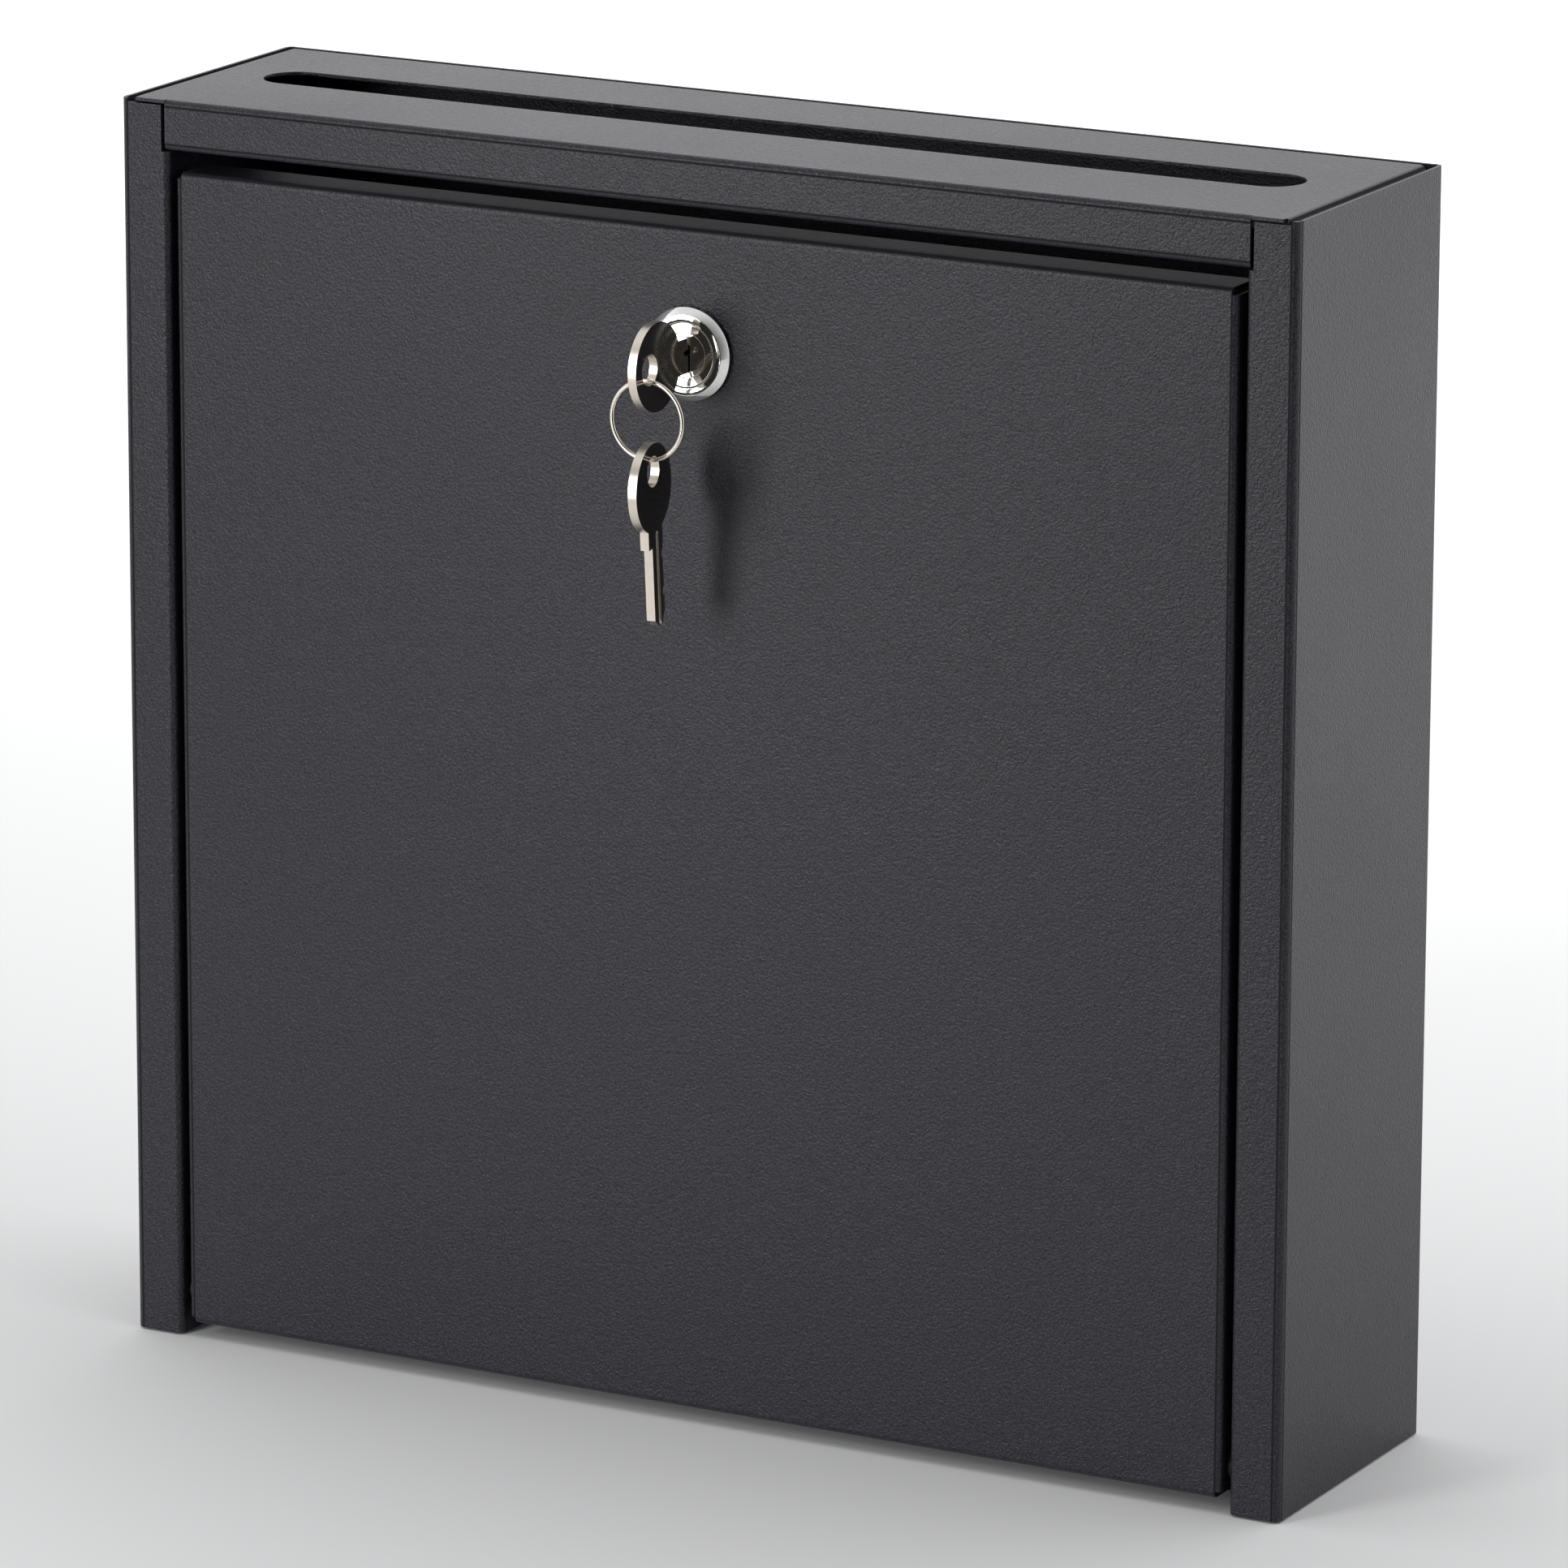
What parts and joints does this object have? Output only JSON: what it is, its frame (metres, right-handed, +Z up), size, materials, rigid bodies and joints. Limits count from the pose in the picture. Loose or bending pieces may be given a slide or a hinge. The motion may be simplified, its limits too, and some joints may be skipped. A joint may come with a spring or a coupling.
{
  "type": "parcel drop box",
  "caption": "Shallow wall-mounted black steel drop box with a letter slot in its top, a lockable drop-down front door, and keys on a ring.",
  "frame": {"origin": "centre of the front-to-back depth and of the width, on the box's flat underside", "axes": "+X along the width, to the right of someone facing the door; the door faces -Y and the wall is at +Y; +Z up"},
  "size_m": [0.305, 0.1065, 0.3015],
  "materials": {
    "powder_coat": "fine-textured black powder coat",
    "chrome": "polished",
    "nickel": "nickel plate, satin edges",
    "zinc": "bright zinc plate",
    "brass": "stamped",
    "nylon": "moulded black"
  },
  "bodies": {
    "box": {"body_wrap": "powder_coat", "top_panel": "powder_coat", "bottom_panel": "powder_coat", "pivot_rivet_left": "zinc", "pivot_rivet_right": "zinc", "pivot_washer_left": "nylon", "pivot_washer_right": "nylon"},
    "door": {"door_panel": "powder_coat", "lock_housing": "chrome", "lock_nut": "zinc"},
    "plug": {"lock_plug": "chrome", "wafer_1": "brass", "wafer_2": "brass", "wafer_3": "brass", "wafer_4": "brass", "wafer_5": "brass", "cam": "zinc", "cam_washer": "zinc", "cam_screw": "zinc"},
    "key": {"key_main": "nickel"},
    "ring": {"key_ring": "nickel"},
    "spare": {"key_spare": "nickel"}
  },
  "joints": [
    {"name": "door_hinge", "type": "hinge", "parent": "box", "child": "door", "pos_m": [0, -0.031, 0.0102], "axis": [1, 0, 0], "range_deg": [0, 90]},
    {"name": "lock_turn", "type": "hinge", "parent": "door", "child": "plug", "pos_m": [-0.0005, -0.038, 0.2559], "axis": [0, 1, 0], "range_deg": [0, 90]},
    {"name": "key_slide", "type": "slide", "parent": "plug", "child": "key", "axis": [0, -1, 0], "range_m": [0, 0.024]},
    {"name": "ring_turn", "type": "hinge", "parent": "key", "child": "ring", "pos_m": [-0.0005, -0.0586, 0.2489], "axis": [0, 1, 0], "range_deg": [-90, 0]},
    {"name": "spare_swing", "type": "hinge", "parent": "ring", "child": "spare", "pos_m": [-0.0001, -0.0586, 0.2351], "axis": [1, 0, 0], "range_deg": [-80, 16]}
  ],
  "couplings": [
    {"joint": "ring_turn", "follows": "lock_turn", "ratio": -1}
  ]
}
